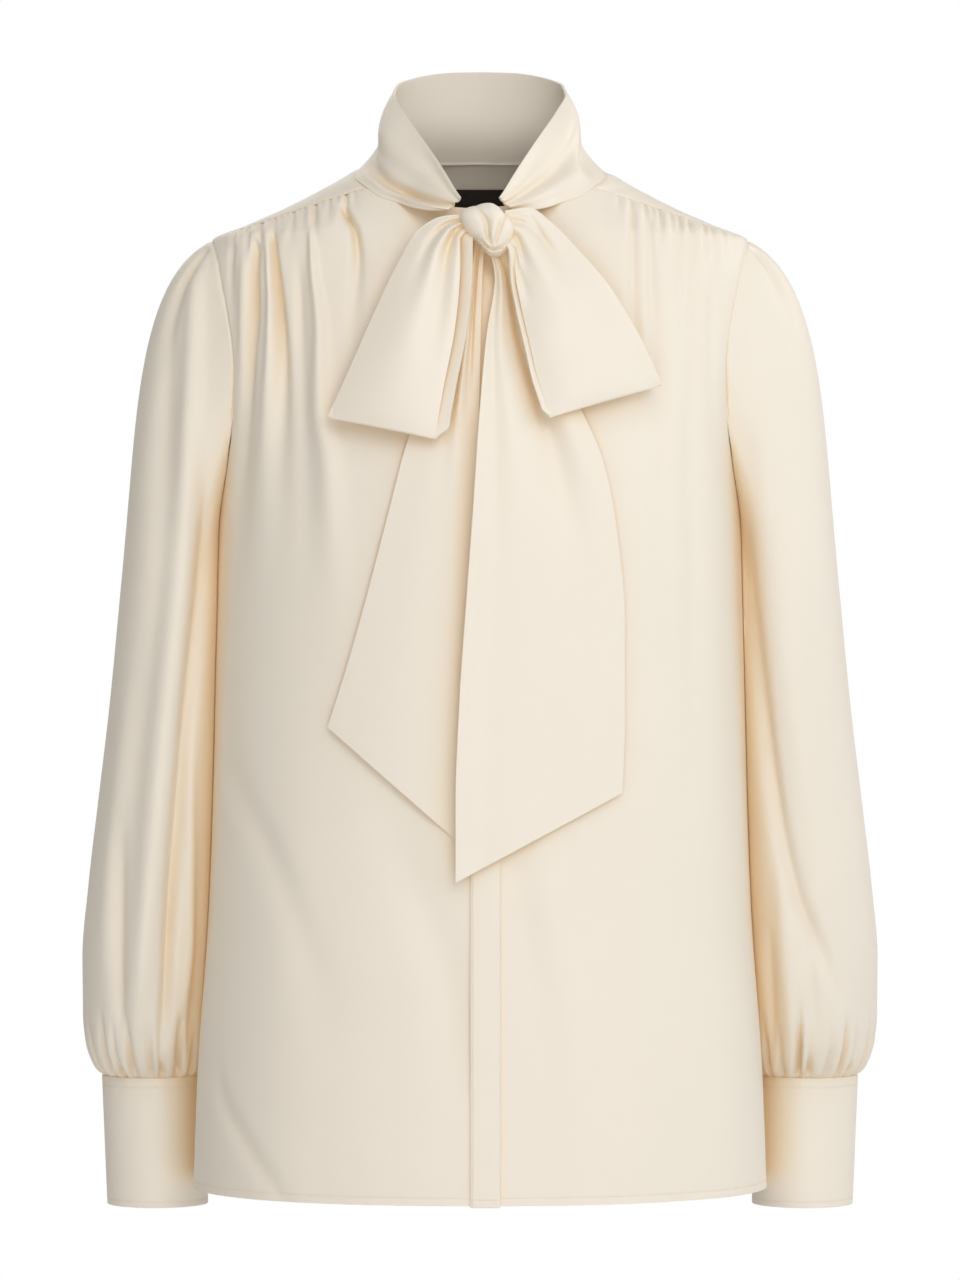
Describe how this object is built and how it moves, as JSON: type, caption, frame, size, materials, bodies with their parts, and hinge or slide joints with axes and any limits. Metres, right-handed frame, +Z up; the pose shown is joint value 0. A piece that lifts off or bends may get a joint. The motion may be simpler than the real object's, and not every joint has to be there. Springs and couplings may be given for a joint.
{
  "type": "blouse",
  "caption": "Long-sleeved blouse with a standing collar tied in a soft bow, gathered front yoke, covered front fastening and deep buttoned cuffs.",
  "frame": {"origin": "between the shoulders, at the height of the base of the neck, in the middle of the body from side to side; the plane y = 0 runs through the shoulder ridges and side seams", "axes": "+Z up towards the collar, the front with the bow faces -Y, and the wearer's left side is +X"},
  "size_m": [0.5314, 0.2539, 0.757],
  "materials": {
    "cloth": "soft satin-backed crepe, ivory",
    "button": "polished, ivory",
    "label": "woven, black"
  },
  "bodies": {
    "root": {"front_right": "cloth", "front_left": "cloth", "front_placket": "cloth", "back": "cloth", "yoke": "cloth", "sleeve_right": "cloth", "sleeve_left": "cloth", "cuff_right": "cloth", "cuff_left": "cloth", "cuff_button_right_1": "button", "cuff_button_right_2": "button", "cuff_button_left_1": "button", "cuff_button_left_2": "button", "collar": "cloth", "tie_knot": "cloth", "bow_loop_right": "cloth", "bow_loop_left": "cloth", "tie_tail_right": "cloth", "tie_tail_left": "cloth", "neck_label": "label"}
  },
  "joints": []
}
